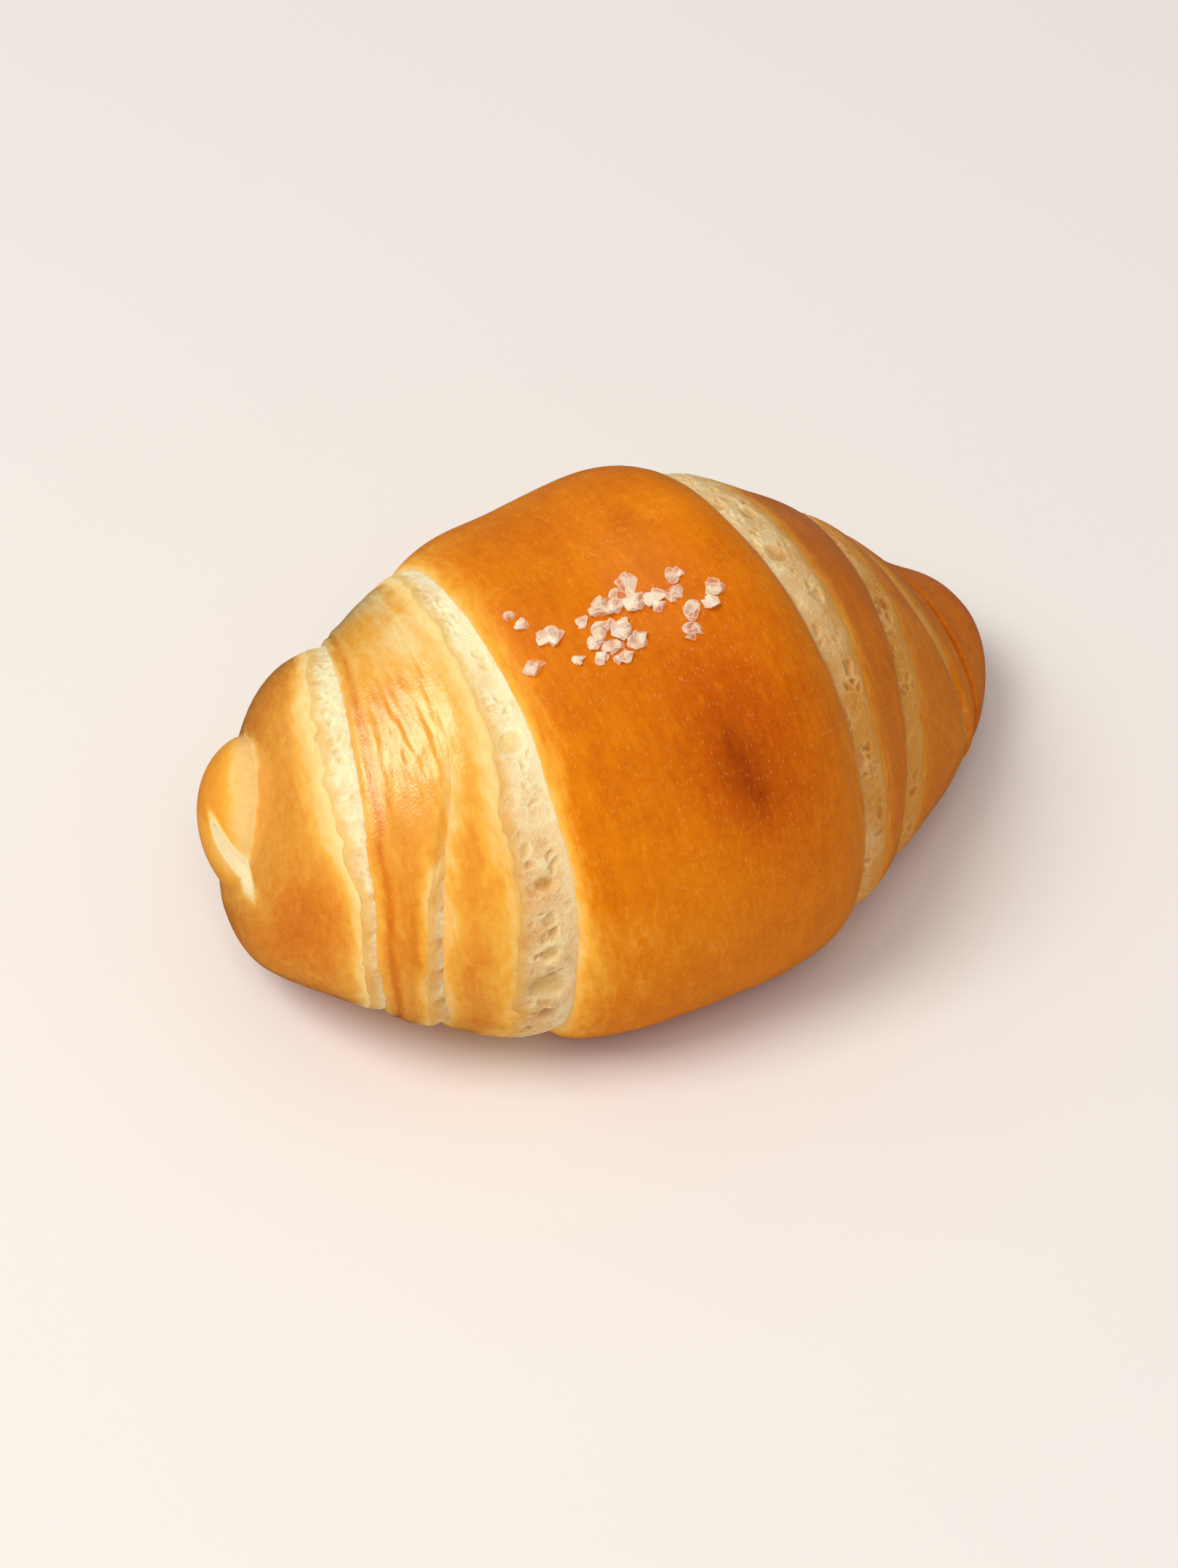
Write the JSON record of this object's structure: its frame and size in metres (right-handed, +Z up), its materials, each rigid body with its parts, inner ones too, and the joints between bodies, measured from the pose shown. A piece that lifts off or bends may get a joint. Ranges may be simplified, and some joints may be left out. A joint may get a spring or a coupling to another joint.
{
  "type": "salt bread roll",
  "caption": "Rolled crescent-shaped bread with overlapping bands, torn pale seams between them and coarse salt on top.",
  "frame": {"origin": "centre of the bounding box at its bottom, where the roll rests on a table", "axes": "+X along the roll from its blunt end with the knob to its tapered end, +Z up, -Y the front"},
  "size_m": [0.117, 0.0776, 0.0611],
  "materials": {
    "baked_crust": "baked golden crust with a buttery satin sheen, pale crumb in the torn seams and translucent salt grains"
  },
  "bodies": {
    "root": {"salt_bread_roll": "baked_crust"}
  },
  "joints": []
}
